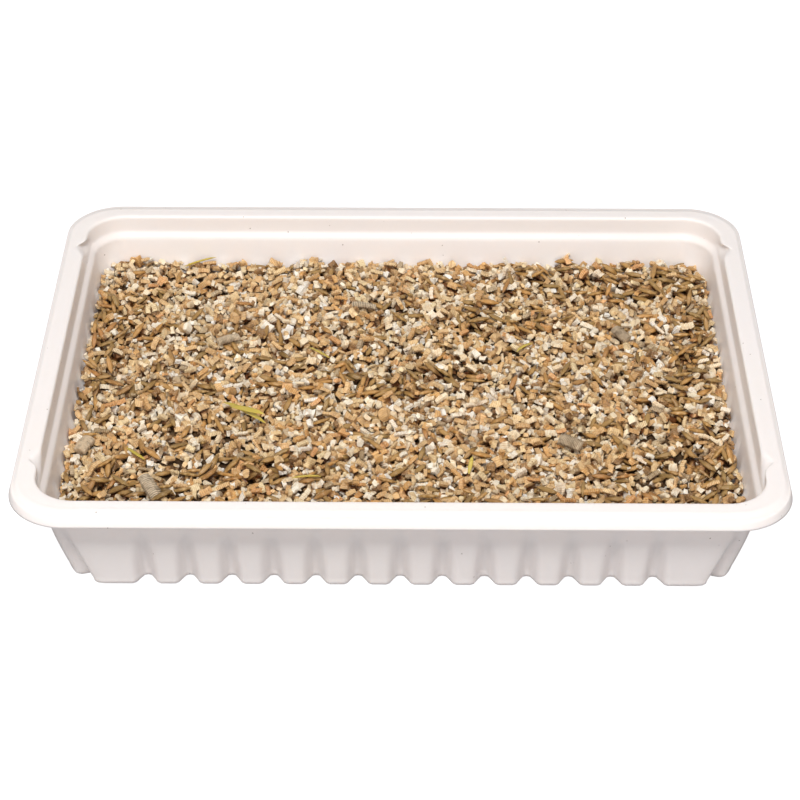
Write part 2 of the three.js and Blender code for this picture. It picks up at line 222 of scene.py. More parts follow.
def wall_at(z):
    """The wall's two insets at a height, and the depth of its flutes there."""
    short, long, flute = (float(np.interp(z, WALL[:, 0], WALL[:, k])) for k in (1, 2, 3))
    return np.array([short, long]), flute


# Each row: height, inset of the short and of the long sides, corner radius, flute and notch. First the
# raised base, and the rounded foot of the wall.
rows = [(z, *(BASE_INSET + further), corner, 0, 0) for z, further, corner in (
    (1.7, 15.5, 9), (1.7, 14.2, 9.6), (1.5, 13.6, 10), (1.1, 13, 10), (0.9, 12.4, 10.2), (0.9, 8.5, 12))]
for turn in np.radians([4, 20, 36, 52, 66, 79]):
    round_in = FOOT_ROUND * (1 - math.sin(turn))
    z = 4.1 - FOOT_ROUND * math.cos(turn)
    rows.append((z, *(BASE_INSET - 0.25 + round_in), FOOT_CORNER - round_in, WALL[0, 3], 0))
for z in (4.1, 6, 8, 11, 14, 17, 20, 22, 24, 25, 26, 27, 28, 29, 30, 31, 32, 33.5, 35):
    inset, flute = wall_at(z)
    rows.append((z, *inset, FOOT_CORNER + (WALL_CORNER - FOOT_CORNER) * (z - 3.1) / 32.3, flute, 0))
# The sloping ledge, the upper wall with its notches, and the rounded inner edge of the rim.
for z, short, long, notch in (
    (36.0, 11.9, 13.0, 0), (36.6, 11.6, 12.7, 0), (37.1, 11.25, 12.35, 0.1), (37.6, 10.88, 11.98, 0.3),
    (38.1, 10.52, 11.64, 0.6), (38.5, 10.26, 11.42, 0.8), (38.9, 10.1, 11.3, 1.0), (39.4, 10.0, 11.24, 1.4),
    (40.2, 9.9, 11.2, 1.9), (41.0, 9.82, 11.18, 2.5), (41.8, 9.72, 11.16, 3.2), (42.8, 9.64, 11.14, 3.3),
    (43.9, 9.54, 11.12, 3.3), (44.7, 9.44, 11.08, 3.3), (45.15, 9.3, 10.95, 3.3), (45.45, 9.06, 10.7, 3.3),
    (45.62, 8.72, 10.36, 3.25), (45.69, 8.3, 9.9, 3.15), (RIM_HEIGHT, 7.4, 9.0, 2.9),
    # The flat of the rim, its raised edge, the slope outside that, and the fold and the hanging lip.
    (45.68, 6.1, 7.9, 2.2), (45.64, 4.9, 7.0, 1.3), (45.62, 4.1, 6.4, 0.6), (45.68, 3.45, 5.85, 0.25),
    (45.66, 3.0, 5.4, 0.05), (45.52, 2.6, 4.8, 0), (45.3, 2.2, 4.0, 0), (45.06, 1.85, 3.2, 0), (44.88, 1.6, 2.5, 0),
    (44.82, 1.45, 2.05, 0), (44.78, 1.28, 1.65, 0), (44.68, 1.08, 1.28, 0), (44.45, 0.86, 0.98, 0),
    (44.0, 0.7, 0.76, 0), (43.0, 0.42, 0.42, 0), (42.0, 0.15, 0.15, 0), (41.3, 0, 0, 0),
):
    rows.append((z, short, long, max(WALL_CORNER, RIM_CORNER - 0.33 * (short + long)), 0, notch))

bm = bmesh.new()
ring = first_ring(bm, level(rows[0][0], rows[0][1:3], *rows[0][3:]))
for z, short, long, *shape in rows[1:]:
    ring = draw_out(bm, ring, level(z, (short, long), *shape))
# The sheet's other side lies a skin away from this one all the way, from the lip back to the base.
for k in range(len(rows) - 1, -1, -1):
    z, short, long, corner, flute, notch = rows[k]
    before, after = np.array(rows[max(k - 1, 0)][:3]), np.array(rows[min(k + 1, len(rows) - 1)][:3])
    rise, in_short, in_long = after - before
    away_short, away_long = math.hypot(rise, in_short), math.hypot(rise, in_long)
    if k == len(rows) - 1:
        rise, away_short, away_long = -1, 1, 1
    under = (z + SKIN * in_long / away_long, short - SKIN * rise / away_short, long - SKIN * rise / away_long)
    # Where the rows crowd round the rim's folds, only every third of them is followed.
    if 43 < z < 45.67 and short < 7.7 and k % 3:
        continue
    groove = float(np.interp(z, WALL[:, 0], WALL[:, 4])) if flute or 35 < z < 38 else 0
    wider = 0.6 if z < 36 else -0.6 if short < 2 else 0
    ring = draw_out(bm, ring, level(under[0], under[1:], corner + wider, groove, notch, True))
bmesh.ops.contextual_create(bm, geom=ring)
bmesh.ops.recalc_face_normals(bm, faces=bm.faces)


def effect(name, inputs, outputs):
    """Starts a shader group with named sockets, and returns it with its inputs and its output node."""
    group = bpy.data.node_groups.new(name, "ShaderNodeTree")
    for label, kind, value in inputs:
        socket = group.interface.new_socket(label, in_out="INPUT", socket_type=kind)
        if value is not None:
            socket.default_value = value
    for label, kind in outputs:
        group.interface.new_socket(label, in_out="OUTPUT", socket_type=kind)
    return group, put(group, "NodeGroupInput").outputs, put(group, "NodeGroupOutput").inputs


def math_of(tree, operation, *values, clamp=False):
    return put(tree, "ShaderNodeMath", dict(enumerate(values)), operation=operation, use_clamp=clamp).outputs[0]


def mixed(tree, factor, first, second, blend="MIX"):
    return put(tree, "ShaderNodeMix", {0: factor, 6: first, 7: second}, data_type="RGBA", blend_type=blend).outputs[2]


def ramp_of(tree, factor, stops):
    node = put(tree, "ShaderNodeValToRGB", {"Fac": factor})
    ramp = node.color_ramp
    while len(ramp.elements) < len(stops):
        ramp.elements.new(0.5)
    for element, (place, colour) in zip(ramp.elements, stops):
        element.position, element.color = place, colour
    return node.outputs[0]


# Mottle: soft uneven tone through a piece, as a factor round one half and as a height.
mottle, given, gives = effect(
    "mottle",
    [("Place", "NodeSocketVector", None), ("Scale", "NodeSocketFloat", 100.0), ("Contrast", "NodeSocketFloat", 1.0)],
    [("Factor", "NodeSocketFloat"), ("Height", "NodeSocketFloat")])
noise = put(mottle, "ShaderNodeTexNoise", {
    "Vector": given["Place"], "Scale": given["Scale"], "Detail": 3.0, "Roughness": 0.6})
centred = math_of(mottle, "SUBTRACT", noise.outputs[0], 0.5)
stretched = math_of(mottle, "MULTIPLY_ADD", centred, given["Contrast"], 0.5, clamp=True)
mottle.links.new(stretched, gives["Factor"])
mottle.links.new(noise.outputs[0], gives["Height"])


def mottled(tree, place, scale, contrast):
    inputs = {"Place": place, "Scale": scale, "Contrast": contrast}
    return put(tree, "ShaderNodeGroup", inputs, node_tree=mottle).outputs


def channel(tree, colour, which):
    return put(tree, "ShaderNodeSeparateColor", {0: colour}).outputs[which]


white_plastic, tree = new_finish("formed_white_plastic")
place = put(tree, "ShaderNodeTexCoord").outputs["Object"]
cloudy = mottled(tree, place, 14.0, 1.6)
fine = mottled(tree, place, 420.0, 1.2)
body = mixed(tree, cloudy["Factor"], srgb(246, 239, 234), srgb(245, 238, 236))
body = mixed(tree, math_of(tree, "MULTIPLY", fine["Factor"], 0.1), body, srgb(228, 217, 210))
# Peat specks and hair-like bits of husk that cling to the wet plastic, a few to each wall.
spots = put(tree, "ShaderNodeTexVoronoi", {"Vector": place, "Scale": 170.0, "Randomness": 1.0})
spot = math_of(tree, "MULTIPLY",
               math_of(tree, "LESS_THAN", spots.outputs["Distance"], 0.05),
               math_of(tree, "GREATER_THAN", channel(tree, spots.outputs["Color"], 0), 0.45))
drawn = put(tree, "ShaderNodeMapping", {"Vector": place, "Rotation": (0.2, 0.5, 0.6), "Scale": (1.0, 4.2, 4.2)})
hairs = put(tree, "ShaderNodeTexVoronoi", {"Vector": drawn.outputs[0], "Scale": 30.0, "Randomness": 1.0})
hair = math_of(tree, "MULTIPLY",
               math_of(tree, "LESS_THAN", hairs.outputs["Distance"], 0.011),
               math_of(tree, "GREATER_THAN", channel(tree, hairs.outputs["Color"], 1), 0.9))
specks = math_of(tree, "MAXIMUM", spot, hair)
body = mixed(tree, math_of(tree, "MULTIPLY", specks, 0.6), body, srgb(112, 86, 66))
grip = put(tree, "ShaderNodeMapRange", {"Value": cloudy["Factor"], "To Min": 0.3, "To Max": 0.42}).outputs[0]
skin = put(tree, "ShaderNodeBump", {"Height": fine["Height"], "Strength": 0.12, "Distance": 0.0002})
slack = put(tree, "ShaderNodeBump", {"Height": mottled(tree, place, 38.0, 1.0)["Height"], "Strength": 0.35,
                                     "Distance": 0.0006, "Normal": skin.outputs[0]})
coat_with(tree, put(tree, "ShaderNodeBsdfPrincipled", {
    "Base Color": body, "Roughness": grip, "Normal": slack.outputs[0], "Specular IOR Level": 0.45,
    "Subsurface Weight": 0.45, "Subsurface Radius": (1.0, 0.92, 0.86), "Subsurface Scale": 0.0013}))

tray_shell = keep(bm, "tray_shell", white_plastic)
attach(tray_shell, "root")
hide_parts("tray")


# THE BED'S CORE. Vermiculite and husk dust packed under the loose granules, coloured dark brown as painted
# shade for the gaps between them. It is poured in and takes the shape of the fluted walls.

CORE_TOP_Z = 22.4
WALL_GAP = 0.35

bm = bmesh.new()
core = [level(2.3, BASE_INSET + 3.4, 11.6, WALL[0, 3] + WALL_GAP),
        level(3.4, BASE_INSET + 0.6, 14.2, WALL[0, 3] + WALL_GAP)]
for z in (9, 15, 21.4):
    inset, flute = wall_at(z)
    core.append(level(z, inset + WALL_GAP, 14, flute + WALL_GAP))
core.append(level(CORE_TOP_Z, inset + 1.2, 13, flute + 0.6))
ring = first_ring(bm, core[0])
for points in core[1:]:
    ring = draw_out(bm, ring, points)
rough = np.random.default_rng(11)
for share in (0.965, 0.93, 0.89, 0.84, 0.78, 0.7, 0.6, 0.5, 0.4, 0.3, 0.2, 0.1):
    points = core[-1] * (share, share, 1)
    points[:, 2] += rough.uniform(-0.7, 0.5, len(points))
    ring = draw_out(bm, ring, points)
bmesh.ops.contextual_create(bm, geom=ring)
bmesh.ops.recalc_face_normals(bm, faces=bm.faces)

core_painted_shade, tree = new_finish("vermiculite_core_painted_shade")
place = put(tree, "ShaderNodeTexCoord").outputs["Object"]
lumps = put(tree, "ShaderNodeTexVoronoi", {"Vector": place, "Scale": 420.0})
patchy = mottled(tree, place, 300.0, 2.0)
# Painted shade: the core is dark brown and darkest along the edges of its lumps, standing in for the shade in the
# gaps under the granules.
body = ramp_of(tree, lumps.outputs["Distance"], [
    (0.1, srgb(150, 112, 70)), (0.5, srgb(104, 76, 46)), (0.9, srgb(52, 36, 22))])
body = mixed(tree, patchy["Factor"], body, srgb(84, 62, 40))
relief = put(tree, "ShaderNodeBump", {"Height": lumps.outputs["Distance"], "Strength": 0.9, "Distance": 0.0012})
coat_with(tree, put(tree, "ShaderNodeBsdfPrincipled", {
    "Base Color": body, "Roughness": 0.85, "Normal": relief.outputs[0]}))

bed_core = keep(bm, "bed_core", core_painted_shade)
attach(bed_core, "root")
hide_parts("vermiculite_bed")


# THE GRANULES. Vermiculite is mica that was heated until it puffed up: crumbs of 2 to 3 mm, and longer
# stacks of thin leaves like an accordion. They are poured loose, and lie where they came to rest.

pour = np.random.default_rng(7)
CELL = 0.5
REACH_X, REACH_Y = 129, 96
ground_x = np.arange(-REACH_X, REACH_X, CELL) + CELL / 2
ground_y = np.arange(-REACH_Y, REACH_Y, CELL) + CELL / 2


def room_to_wall(x, y, z=25.5):
    """How far a place in the bed is from the tray's fluted wall, in plan."""
    inset, flute = wall_at(z)
    half = np.array([RIM_LENGTH, RIM_WIDTH]) / 2 - inset
    x, y = np.abs(x), np.abs(y)
    half_width = FLUTE_HALF_WIDTH["inside"][1]
    to_short = half[0] - x - flute * flute_depth(y, half_width, *FLUTES["short"][:2])
    to_long = half[1] - y - flute * flute_depth(x, half_width, *FLUTES["long"][:2])
    corner_x, corner_y = x - half[0] + WALL_CORNER, y - half[1] + WALL_CORNER
    to_corner = WALL_CORNER - np.hypot(np.maximum(corner_x, 0), np.maximum(corner_y, 0))
    return np.minimum(np.minimum(to_short, to_long), np.where((corner_x > 0) & (corner_y > 0), to_corner, 99))


grid_x, grid_y = np.meshgrid(ground_x, ground_y, indexing="ij")
in_bed = room_to_wall(grid_x, grid_y) > 0
swell = 0.8 * np.sin(grid_x / 31 + 1) * np.sin(grid_y / 23 + 0.4)
heap = CORE_TOP_Z + 0.4 + swell + pour.uniform(-0.3, 0.3, grid_x.shape)


def let_down(x, y, half, heading, tumble, seat=0.75):
    """Lets a piece down on the heap, leaning as the ground under it leans. Returns its matrix; the heap grows."""
    a, b, c = half
    i, j = int((x + REACH_X) / CELL), int((y + REACH_Y) / CELL)
    wide = int(max(a, b) / CELL) + 1
    here = (slice(max(i - wide, 0), i + wide + 1), slice(max(j - wide, 0), j + wide + 1))
    dx, dy = grid_x[here] - x, grid_y[here] - y
    cos, sin = math.cos(heading), math.sin(heading)
    u, v = dx * cos + dy * sin, dy * cos - dx * sin
    footprint = (u / a) ** 2 + (v / b) ** 2
    under = (footprint < 1) & in_bed[here]
    if under.sum() < 3:
        return None
    u, v, h = u[under], v[under], heap[here][under]
    lift = h - h.mean()
    lean_u = float(np.clip((u * lift).sum() / ((u * u).sum() + 0.3), -0.5, 0.5)) * 0.8
    lean_v = float(np.clip((v * lift).sum() / ((v * v).sum() + 0.3), -0.5, 0.5)) * 0.8
    clear = np.sort(h - lean_u * u - lean_v * v)
    z = float(clear[int(seat * (len(clear) - 1))]) + 0.85 * c
    dome = np.sqrt(np.clip(1 - 0.8 * footprint[under], 0, 1))
    heap[here][under] = np.maximum(h, z + lean_u * u + lean_v * v + c * dome)
    length = Vector((1, 0, lean_u)).normalized()
    up = Vector((-lean_u, -lean_v, 1)).normalized()
    lying = Matrix((length, up.cross(length), up)).transposed().to_4x4()
    tumbled = Euler(pour.normal(0, tumble, 3)).to_matrix().to_4x4()
    placed = Matrix.Translation((x, y, z)) @ Matrix.Rotation(heading, 4, "Z") @ lying
    return placed @ tumbled @ Matrix.Diagonal((a, b, c, 1))


def low_place(tries, margin):
    """A place in the bed, the lowest of a few, clear of the wall."""
    best = None
    for _ in range(tries):
        while True:
            x, y = pour.uniform(1 - REACH_X, REACH_X - 1), pour.uniform(1 - REACH_Y, REACH_Y - 1)
            if room_to_wall(x, y) > margin:
                break
        height = heap[int((x + REACH_X) / CELL), int((y + REACH_Y) / CELL)]
        if best is None or height < best[2]:
            best = (x, y, height)
    return best[:2]


def mark_span(bm):
    """Keeps each point's place along and across the piece, which the leaf and husk patterns follow."""
    span = bm.verts.layers.float.new("span")
    side = bm.verts.layers.float.new("side")
    for vert in bm.verts:
        vert[span], vert[side] = vert.co.x, vert.co.y


def crumb_shape(draw):
    """A broken crumb: an uneven block with its edges worn off, some of them split part of the way through."""
    bm = bmesh.new()
    bmesh.ops.create_cube(bm, size=1.8)
    for vert in bm.verts:
        vert.co += Vector(draw.uniform(-0.38, 0.38, 3))
    if draw.uniform() < 0.7:
        cut = bmesh.ops.bisect_plane(
            bm, geom=bm.verts[:] + bm.edges[:] + bm.faces[:], plane_co=(draw.uniform(-0.3, 0.3), 0, 0),
            plane_no=(1, draw.uniform(-0.3, 0.3), draw.uniform(-0.3, 0.3)))["geom_cut"]
        for vert in (v for v in cut if isinstance(v, bmesh.types.BMVert)):
            vert.co.y, vert.co.z = vert.co.y * 0.68, vert.co.z * 0.68
    broken_off = [bm.verts[:][k] for k in draw.choice(len(bm.verts), 5, replace=False)]
    bmesh.ops.bevel(bm, geom=broken_off, offset=draw.uniform(0.4, 0.75), offset_type="OFFSET", affect="VERTICES",
                    segments=1, profile=0.5, material=-1)
    for vert in bm.verts:
        vert.co += Vector(draw.uniform(-0.09, 0.09, 3))
    mark_span(bm)
    for face in bm.faces:
        face.smooth = False
    mesh = bpy.data.meshes.new("crumb")
    bm.to_mesh(mesh)
    bm.free()
    return mesh


def drawn_shape(name, sides, stations, flat=(1, 1), smooth=False):
    """A round or flattened bar along X, through stations of (x, radius, shift in y, shift in z)."""
    bm = bmesh.new()
    bmesh.ops.create_circle(bm, cap_ends=True, segments=sides, radius=1)
    turn = Matrix.Rotation(math.pi / 2, 3, "Y") @ Matrix.Rotation(math.pi / sides, 3, "Z")
    bmesh.ops.rotate(bm, matrix=turn, verts=bm.verts)
    face = bm.faces[:][0]
    rim = [Vector((0, v.co.y * flat[0], v.co.z * flat[1])) for v in face.verts]
    for k, (x, radius, y, z) in enumerate(stations):
        if k:
            made = bmesh.ops.extrude_face_region(bm, geom=[face])["geom"]
            face = [g for g in made if isinstance(g, bmesh.types.BMFace)][0]
        if k == 0:
            for vert, corner in zip(face.verts, rim):
                vert.co = Vector((x, y, z)) + corner * radius
        else:
            middle = Vector(stations[k - 1][0:1] + stations[k - 1][2:4])
            for vert in face.verts:
                out = (vert.co - middle) / max(stations[k - 1][1], 1e-6)
                vert.co = Vector((x, y, z)) + Vector((0, out.y, out.z)) * radius
    bm.normal_update()
    bmesh.ops.remove_doubles(bm, verts=bm.verts, dist=1e-5)
    bmesh.ops.holes_fill(bm, edges=[e for e in bm.edges if e.is_boundary], sides=0)
    bmesh.ops.recalc_face_normals(bm, faces=bm.faces)
    mark_span(bm)
    for face in bm.faces:
        face.smooth = smooth
    mesh = bpy.data.meshes.new(name)
    bm.to_mesh(mesh)
    bm.free()
    return mesh


def stack_shape(draw, leaves, sides):
    """A stack of mica leaves: each one stands out or in a little, and the stack may curve like a worm."""
    curl = draw.uniform(-0.35, 0.35)
    stations = []
    for k in range(leaves + 1):
        x = -1 + 2 * k / leaves
        radius = (1.0 if k % 2 else 0.84) * draw.uniform(0.93, 1.04) * (1 - 0.1 * x * x)
        stations.append((x, radius, curl * (1 - x * x) + draw.uniform(-0.05, 0.05), draw.uniform(-0.05, 0.05)))
    return drawn_shape("stack", sides, stations, flat=(1, draw.uniform(0.75, 1)))


def seed_shape(draw):
    """A long grass seed in its husk: pointed at both ends, with the crease pressed in along its back."""
    bow = draw.uniform(-0.1, 0.14)
    profile = ((-1, 0.12), (-0.86, 0.42), (-0.55, 0.82), (-0.1, 1.0),
               (0.38, 0.92), (0.74, 0.58), (0.93, 0.26), (1, 0.1))
    mesh = drawn_shape("seed", 6, [(x, r, 0, bow * (1 - x * x)) for x, r in profile], smooth=True)
    for vert in mesh.vertices:
        if abs(vert.co.y) < 0.2 and abs(vert.co.x) < 0.9:
            vert.co.z *= 0.72
    return mesh


shape_draw = np.random.default_rng(3)
SHAPES = {
    "crumb": [crumb_shape(shape_draw) for _ in range(14)],
    "stack": [stack_shape(shape_draw, 8, 4) for _ in range(4)] + [stack_shape(shape_draw, 7, 5) for _ in range(4)],
    "seed": [seed_shape(shape_draw) for _ in range(5)],
}
# What share of the crumbs and of the stacks is of each colour.
CRUMB_COLOURS = {"white": 0.09, "cream": 0.34, "tan": 0.32, "golden": 0.09, "brown": 0.13, "grey": 0.03}
STACK_COLOURS = {"cream": 0.25, "tan": 0.51, "golden": 0.16, "grey": 0.08}
resting = {}


def settle(group, kind, matrix):
    if matrix is not None:
        shapes = SHAPES[kind]
        resting.setdefault(group, []).append((shapes[int(pour.integers(len(shapes)))], matrix, pour.uniform()))


def pour_crumb(fine=1, tries=3):
    size = float(np.clip(pour.lognormal(math.log(1.12 * fine), 0.28), 0.55, 2.1))
    half = (size, size * pour.uniform(0.62, 1), size * pour.uniform(0.55, 0.9))
    x, y = low_place(tries, size * 0.45)
    colour = pour.choice(list(CRUMB_COLOURS), p=list(CRUMB_COLOURS.values()))
    settle(f"crumbs_{colour}", "crumb", let_down(x, y, half, pour.uniform(0, 6.28), 0.5))


def pour_stack():
    length, width = pour.uniform(1.5, 2.9), pour.uniform(1.05, 1.6)
    x, y = low_place(2, length * 0.5)
    colour = pour.choice(list(STACK_COLOURS), p=list(STACK_COLOURS.values()))
    half = (length, width, width * pour.uniform(0.7, 1))
    settle(f"stacks_{colour}", "stack", let_down(x, y, half, pour.uniform(0, 6.28), 0.28))


GRAINS_BELOW, CRUMB_SHARE = 6000, 0.85
for k in range(GRAINS_BELOW):
    pour_crumb() if pour.uniform() < CRUMB_SHARE else pour_stack()


# THE SEED. Whole grass seed in the husk, 7 to 9 mm long, stirred into the top of the bed. It has washed
# into drifts along the walls and in two corners, and lies singly elsewhere.

# Each drift: where it lies, how long and wide it is, and which way its seeds point.
DRIFTS = {
    "right_wall": ((119, -12), (24, 138), 1.42), "back_right_corner": ((96, 82), (74, 32), -0.5),
    "front_left_corner": ((-108, -82), (50, 36), 0.55), "front_wall": ((32, -88), (140, 26), -0.2),
    "left_wall": ((-124, 24), (20, 84), 1.75), "middle": ((-6, 4), (46, 21), 0.35),
    "back_middle": ((40, 50), (34, 22), -0.65), "front_left": ((-54, -54), (48, 19), 0.2),
}
drift_areas = np.array([w * d for _, (w, d), _ in DRIFTS.values()], float)
SHARE_IN_DRIFTS = 0.48


def pour_seed():
    length = pour.uniform(3.5, 4.5)
    half = (length, length * pour.uniform(0.23, 0.28), length * pour.uniform(0.21, 0.25))
    drift = None
    if pour.uniform() < SHARE_IN_DRIFTS:
        drift = pour.choice(list(DRIFTS), p=drift_areas / drift_areas.sum())
        (mx, my), (wide, deep), way = DRIFTS[drift]
    for _ in range(40):
        if drift:
            r, a = math.sqrt(pour.uniform()) * 0.56, pour.uniform(0, 6.28)
            x, y = mx + wide * r * math.cos(a), my + deep * r * math.sin(a)
            heading = way + pour.normal(0, 0.75)
        else:
            x, y = low_place(2, 1.5)
            heading = pour.uniform(0, 6.28)
        ends = [(x + s * length * math.cos(heading), y + s * length * math.sin(heading)) for s in (-1, 1)]
        if min(room_to_wall(px, py) for px, py in [(x, y), *ends]) > 0.3:
            settle(f"seeds_of_{drift or 'all_over'}", "seed", let_down(x, y, half, heading, 0.12, 0.72))
            return


# The top is poured with the seed in it, and the last of it is part fine crumbs that find the gaps.
GRAINS_ON_TOP, SEED_UNTIL, FINE_AFTER = 9400, 8600, 6400
SEED_SHARE, STACK_SHARE = 0.125, 0.125
for k in range(GRAINS_ON_TOP):
    kind = pour.uniform()
    if kind < SEED_SHARE and k < SEED_UNTIL:
        pour_seed()
    elif kind < SEED_SHARE + STACK_SHARE:
        pour_stack()
    else:
        late = k > FINE_AFTER
        pour_crumb(fine=0.65 if late and kind > 0.55 else 1, tries=8 if late else 3)


def press_in(points):
    """Presses grains back from the wall where they would stand in it. Changes the points, in millimetres."""
    z = points[:, 2]
    short, long, flute = (np.interp(z, WALL[:, 0], WALL[:, k]) for k in (1, 2, 3))
    half_width = np.interp(z, FLUTE_SPAN, FLUTE_HALF_WIDTH["inside"])
    x, y = np.abs(points[:, 0]), np.abs(points[:, 1])
    gap, corner_radius = 0.2, 13.6
    end_x, end_y = RIM_LENGTH / 2 - short - gap, RIM_WIDTH / 2 - long - gap
    centre_x, centre_y = end_x - corner_radius, end_y - corner_radius
    in_x = np.minimum(x, end_x - flute * flute_depth(points[:, 1], half_width, *FLUTES["short"][:2]))
    in_y = np.minimum(y, end_y - flute * flute_depth(points[:, 0], half_width, *FLUTES["long"][:2]))
    out_x, out_y = x - centre_x, y - centre_y
    turned = np.arctan2(np.maximum(out_y, 0), np.maximum(out_x, 1e-9))
    allowed = corner_radius - flute * valley(corner_radius * (turned - CORNER_FLUTE), half_width)
    shrink = np.minimum(allowed / np.maximum(np.hypot(out_x, out_y), 1e-9), 1)
    corner = (out_x > 0) & (out_y > 0)
    points[:, 0] = np.sign(points[:, 0]) * np.where(corner, centre_x + out_x * shrink, in_x)
    points[:, 1] = np.sign(points[:, 1]) * np.where(corner, centre_y + out_y * shrink, in_y)


def gather(group, name, material):
    """Makes one piece of a group of grains, each a copy of its shape at its own resting place."""
    bm = bmesh.new()
    for shape, matrix, _ in resting[group]:
        shape.transform(matrix)
        bm.from_mesh(shape)
        shape.transform(matrix.inverted())
    tones = np.concatenate([np.full(len(shape.vertices), tone) for shape, _, tone in resting[group]])
    where = np.array([vert.co for vert in bm.verts])
    press_in(where)
    for vert, point in zip(bm.verts, where):
        vert.co = point
    cells = ((where[:, :2] + (REACH_X, REACH_Y)) / CELL).astype(int).clip(0, np.array(heap.shape) - 1)
    # How deep each point lies under the top of the heap, which darkens it as painted shade.
    sunk = np.clip((heap[cells[:, 0], cells[:, 1]] - where[:, 2] - 0.5) / 2.6, 0, 1)
    piece = keep(bm, name, material, smooth=False)
    piece.data.attributes.new("tone", "FLOAT", "POINT").data.foreach_set("value", tones.astype(np.float32))
    piece.data.attributes.new("sunk", "FLOAT", "POINT").data.foreach_set("value", sunk.astype(np.float32))
    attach(piece, "root")
    return piece


# Leaf lines: the lines between the leaves of a puffed granule, along its "span", painted dark as shade and also used
# as relief.
leaf_lines, given, gives = effect(
    "leaf_lines",
    [("Place", "NodeSocketVector", None), ("Leaves", "NodeSocketFloat", 5.0), ("Waver", "NodeSocketFloat", 0.3)],
    [("Line", "NodeSocketFloat"), ("Height", "NodeSocketFloat")])
span = put(leaf_lines, "ShaderNodeAttribute", attribute_name="span").outputs["Fac"]
waver = put(leaf_lines, "ShaderNodeTexNoise", {"Vector": given["Place"], "Scale": 620.0, "Detail": 2.0})
shifted = math_of(leaf_lines, "MULTIPLY_ADD", waver.outputs[0], given["Waver"], span)
phase = math_of(leaf_lines, "PINGPONG", math_of(leaf_lines, "MULTIPLY", shifted, given["Leaves"]), 0.5)
thin = {"Value": phase, "From Min": 0.2, "From Max": 0.0}
line = put(leaf_lines, "ShaderNodeMapRange", thin, interpolation_type="SMOOTHSTEP")
leaf_lines.links.new(line.outputs[0], gives["Line"])
leaf_lines.links.new(phase, gives["Height"])


def paint_sunk_shade(tree, body):
    """Painted shade: darkens a piece's tone where it is sunk among the others, below the top of the heap."""
    sunk = put(tree, "ShaderNodeAttribute", attribute_name="sunk").outputs["Fac"]
    return mixed(tree, sunk, body, srgb(134, 98, 64), "MULTIPLY")


def granule_finish(name, stops, shade, leaves, depth, sheen):
    """Puffed mica: its own tone on each granule, painted shade in the lines between the leaves and where it lies
    sunk, painted glints, and a dry satin sheen.
    """
    material, tree = new_finish(name)
    place = put(tree, "ShaderNodeTexCoord").outputs["Object"]
    tone = put(tree, "ShaderNodeAttribute", attribute_name="tone").outputs["Fac"]
    patchy = mottled(tree, place, 520.0, 2.4)
    grit = mottled(tree, place, 2600.0, 1.6)
    leafed = {"Place": place, "Leaves": leaves, "Waver": 1.2 / leaves ** 1.5}
    lines = put(tree, "ShaderNodeGroup", leafed, node_tree=leaf_lines)
    body = ramp_of(tree, tone, stops)
    body = mixed(tree, math_of(tree, "MULTIPLY_ADD", patchy["Factor"], 0.9, -0.36, clamp=True), body, shade)
    # Painted shade along the lines between the leaves.
    body = mixed(tree, math_of(tree, "MULTIPLY", lines.outputs["Line"], depth), body, shade, "MULTIPLY")
    # Painted glints: where the fine grit peaks, the colour goes towards near white, as painted highlights.
    glints = math_of(tree, "MULTIPLY_ADD", grit["Factor"], 2.2, -1.25, clamp=True)
    body = mixed(tree, glints, body, srgb(255, 241, 210))
    # Painted shade where the granule lies sunk among the others.
    body = paint_sunk_shade(tree, body)
    first = put(tree, "ShaderNodeBump", {"Height": lines.outputs["Height"], "Strength": 0.9, "Distance": 0.0003})
    second = put(tree, "ShaderNodeBump", {
        "Height": grit["Height"], "Strength": 0.8, "Distance": 0.00035, "Normal": first.outputs[0]})
    rough = put(tree, "ShaderNodeMapRange", {
        "Value": grit["Factor"], "To Min": sheen[0], "To Max": sheen[1]}).outputs[0]
    coat_with(tree, put(tree, "ShaderNodeBsdfPrincipled", {
        "Base Color": body, "Roughness": rough, "Normal": second.outputs[0], "Specular IOR Level": 0.5}))
    return material


# The tones from one granule to the next, and the colour painted as shade between the leaves, also mixed in at random
# in patches.
GRANULE_TONES = {
    "white": ([(0, srgb(255, 255, 250)), (0.5, srgb(255, 251, 238)), (1, srgb(254, 246, 226))], srgb(236, 206, 164)),
    "cream": ([(0, srgb(255, 250, 234)), (0.35, srgb(255, 242, 212)), (0.65, srgb(255, 236, 200)),
               (0.85, srgb(255, 254, 246)), (1, srgb(252, 228, 186))], srgb(226, 184, 130)),
    "tan": ([(0, srgb(255, 227, 174)), (0.25, srgb(230, 188, 128)), (0.5, srgb(255, 236, 190)),
             (0.75, srgb(214, 170, 111)), (1, srgb(253, 215, 158))], srgb(184, 136, 84)),
    "golden": ([(0, srgb(244, 194, 124)), (0.35, srgb(222, 170, 100)), (0.6, srgb(255, 216, 156)),
                (0.8, srgb(248, 190, 128)), (1, srgb(212, 156, 88))], srgb(172, 118, 64)),
    "brown": ([(0, srgb(180, 134, 82)), (0.4, srgb(150, 110, 64)), (0.7, srgb(202, 154, 98)),
               (1, srgb(134, 98, 58))], srgb(104, 70, 38)),
    "grey": ([(0, srgb(214, 190, 154)), (0.35, srgb(188, 162, 122)), (0.7, srgb(234, 212, 176)),
              (1, srgb(174, 146, 110))], srgb(136, 104, 70)),
}
GRANULE_SHEEN = (0.32, 0.6)
for colour in CRUMB_COLOURS:
    finish = granule_finish(f"vermiculite_{colour}", *GRANULE_TONES[colour], 2.4, 0.5, GRANULE_SHEEN)
    crumbs = gather(f"crumbs_{colour}", f"crumbs_{colour}", finish)
    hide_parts("vermiculite_bed")
for colour in STACK_COLOURS:
    finish = granule_finish(f"vermiculite_{colour}_stacks", *GRANULE_TONES[colour], 4.0, 0.9, GRANULE_SHEEN)
    stacks = gather(f"stacks_{colour}", f"stacks_{colour}", finish)
    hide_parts("vermiculite_bed")

